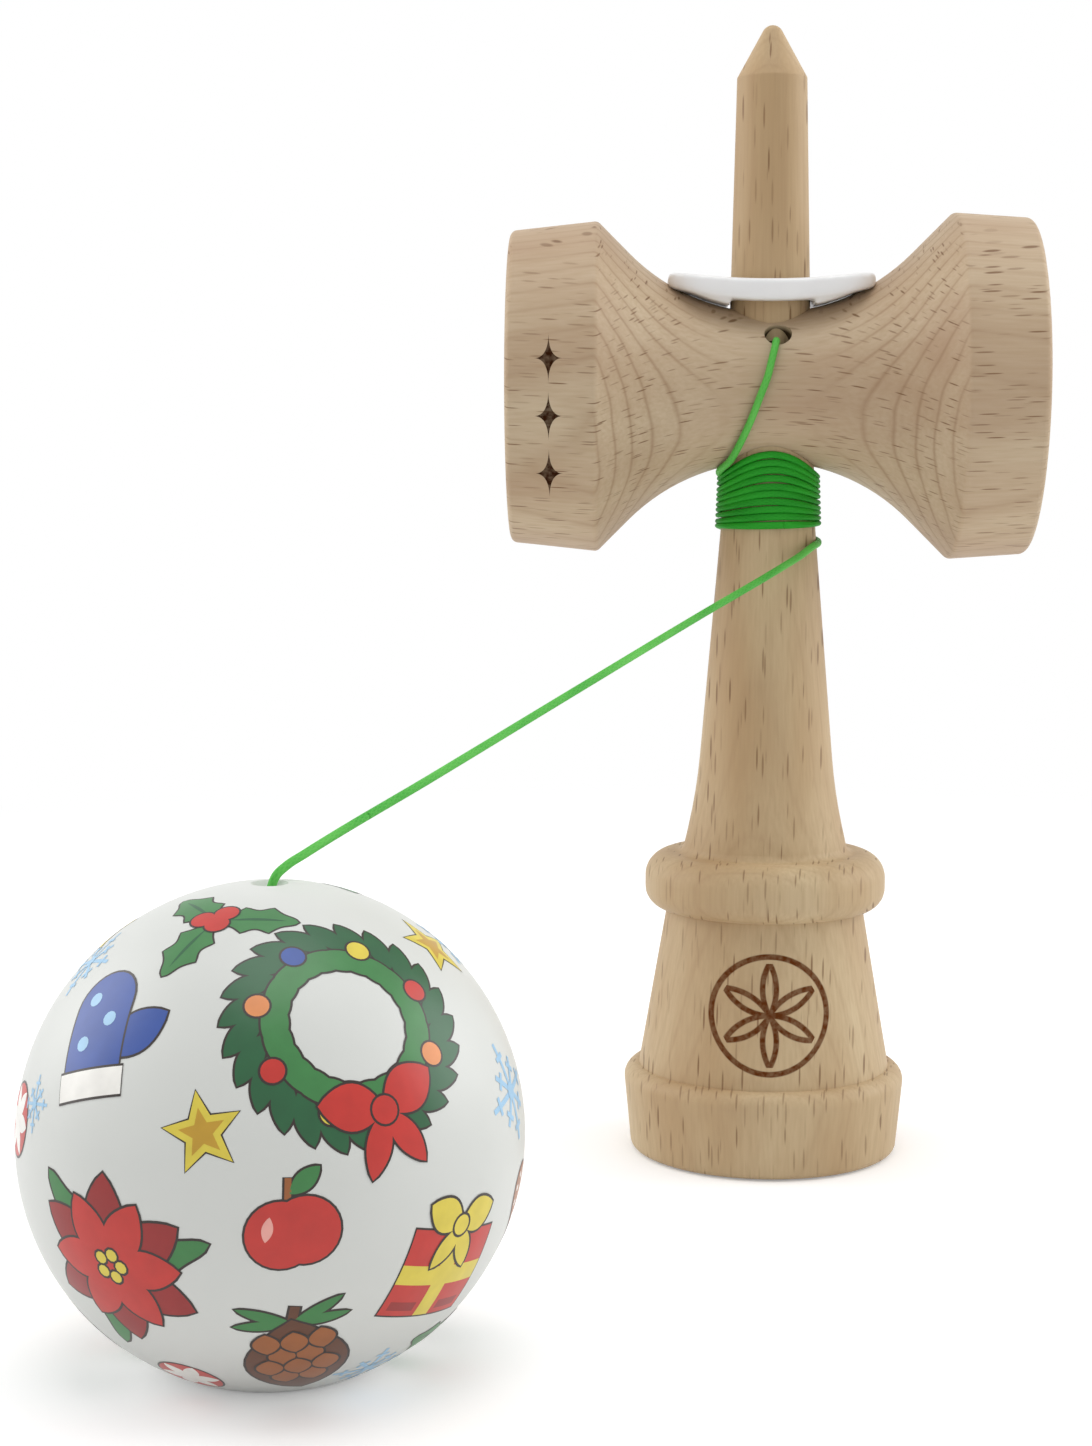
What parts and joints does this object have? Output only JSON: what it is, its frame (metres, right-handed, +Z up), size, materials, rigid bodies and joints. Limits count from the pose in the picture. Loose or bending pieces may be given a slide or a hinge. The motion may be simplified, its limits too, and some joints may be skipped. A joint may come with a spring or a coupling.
{
  "type": "kendama",
  "caption": "Turned wooden kendama: a spiked ken with a cross piece of two cups and a base cup, tied by a cord wound round its grip to a lacquered ball with a spike hole.",
  "frame": {"origin": "centre of the ken's foot, on the table that the ken and the ball stand on", "axes": "+Z up along the ken to the tip of its spike, +X along the cross piece to its big cup, -Y to the side with the string hole"},
  "size_m": [0.1317, 0.1514, 0.171],
  "materials": {
    "ken_beech": "fine-sanded pale beech, no varnish",
    "cross_beech": "fine-sanded pale beech, no varnish",
    "saddle_plastic": "glossy moulded white plastic",
    "ball_lacquer": "white gloss lacquer on wood, with a printed winter pattern",
    "bead_plastic": "glossy plastic",
    "cord": "braided green nylon"
  },
  "bodies": {
    "ken": {"ken": "ken_beech", "anchor_knot": "cord", "string_anchor": "cord", "string_lead": "cord", "string_winding": "cord"},
    "sarado": {"sarado": "cross_beech"},
    "saddle": {"saddle": "saddle_plastic"},
    "string_loop": {"string_turn": "cord"},
    "string_link": {"string_span": "cord"},
    "hanger": {"bead": "bead_plastic", "bead_knot": "cord", "string_tail": "cord"},
    "ball": {"ball": "ball_lacquer"}
  },
  "joints": [
    {"name": "sarado_lift", "type": "slide", "parent": "ken", "child": "sarado", "axis": [0, 0, 1], "range_m": [0, 0.066], "deforming": ["string_lead"]},
    {"name": "saddle_lift", "type": "slide", "parent": "sarado", "child": "saddle", "axis": [0, 0, 1], "range_m": [0, 0.045]},
    {"name": "string_orbit", "type": "hinge", "parent": "ken", "child": "string_loop", "pos_m": [0, 0, 0.0936], "axis": [0, 0, 1], "range_deg": [-20, 45], "deforming": ["string_turn"]},
    {"name": "string_lift", "type": "hinge", "parent": "string_loop", "child": "string_link", "pos_m": [0.0065, -0.005, 0.0936], "axis": [-0.7931, 0.6091, 0], "range_deg": [0, 55]},
    {"name": "ball_tilt", "type": "hinge", "parent": "string_link", "child": "hanger", "pos_m": [-0.063, -0.0955, 0.0584], "axis": [-0.7931, 0.6091, 0], "range_deg": [-10, 70]},
    {"name": "ball_spin", "type": "hinge", "parent": "hanger", "child": "ball", "pos_m": [-0.063, -0.0955, 0.0275], "axis": [0, 0, 1], "continuous": true}
  ]
}
